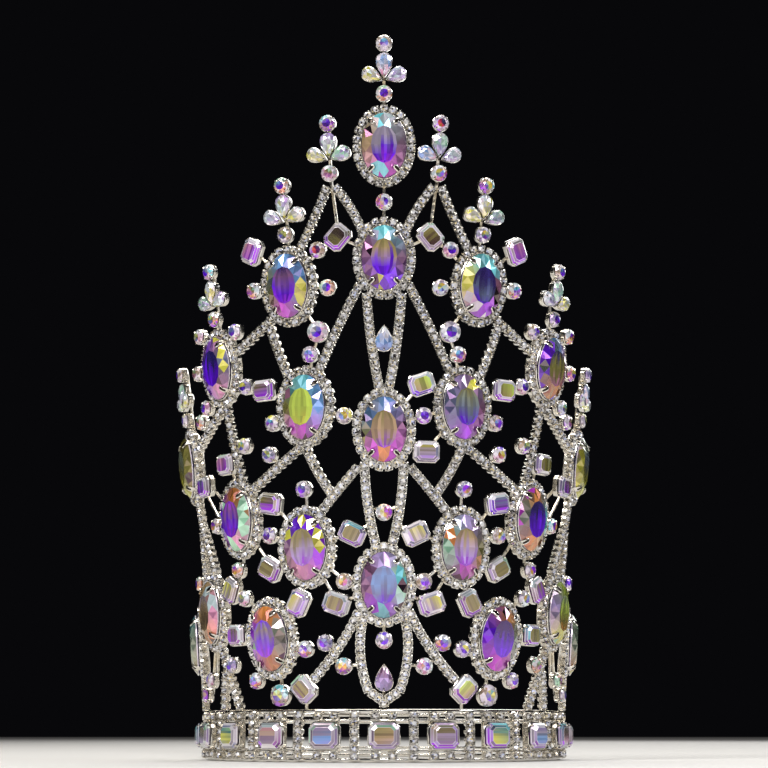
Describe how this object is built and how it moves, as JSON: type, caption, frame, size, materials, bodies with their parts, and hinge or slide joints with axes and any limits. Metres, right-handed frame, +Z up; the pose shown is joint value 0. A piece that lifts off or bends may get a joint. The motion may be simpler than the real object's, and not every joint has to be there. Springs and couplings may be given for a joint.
{
  "type": "pageant crown",
  "caption": "Tall front of soldered cups and stone chain with large oval stones, on a closed ring of double rails that sits on the head.",
  "frame": {"origin": "centre of the ring of rails, on the plane it stands on", "axes": "+Z up, -Y to the front, where the tall side is, +X to the wearer's left, which is the right of a front view"},
  "size_m": [0.1814, 0.1927, 0.286],
  "materials": {
    "silver_plate": "bright plated, soldered",
    "violet_stone": "faceted, iridescent coating, foiled back",
    "blue_stone": "faceted, iridescent coating, foiled back",
    "orchid_stone": "faceted, iridescent coating, foiled back",
    "lime_stone": "faceted, iridescent coating, foiled back",
    "olive_stone": "faceted, iridescent coating, foiled back",
    "rose_stone": "faceted, iridescent coating, foiled back",
    "pale_stone": "faceted, iridescent coating, foiled back",
    "clear_stone": "faceted, iridescent coating, foiled back"
  },
  "bodies": {
    "root": {"base_band": "silver_plate", "front_lattice": "silver_plate", "band_octagons": "pale_stone", "drop_upper": "pale_stone", "drop_lower": "pale_stone", "upper_rounds": "violet_stone", "middle_rounds": "violet_stone", "lower_rounds": "violet_stone", "upper_octagons": "olive_stone", "middle_octagons": "olive_stone", "lower_octagons": "olive_stone", "finial_pears": "clear_stone", "finial_rounds": "violet_stone", "oval_1_centre": "violet_stone", "oval_2_centre": "violet_stone", "oval_2_left": "blue_stone", "oval_2_right": "blue_stone", "oval_3_centre": "orchid_stone", "oval_3_left_inner": "lime_stone", "oval_3_right_inner": "violet_stone", "oval_3_left_outer": "blue_stone", "oval_3_right_outer": "blue_stone", "oval_4_centre": "blue_stone", "oval_4_left_inner": "violet_stone", "oval_4_right_inner": "violet_stone", "oval_4_left_middle": "blue_stone", "oval_4_right_middle": "blue_stone", "oval_4_left_outer": "olive_stone", "oval_4_right_outer": "olive_stone", "oval_5_left_inner": "orchid_stone", "oval_5_right_inner": "blue_stone", "oval_5_left_middle": "rose_stone", "oval_5_right_middle": "olive_stone", "oval_5_left_outer": "rose_stone", "oval_5_right_outer": "olive_stone"}
  },
  "joints": []
}
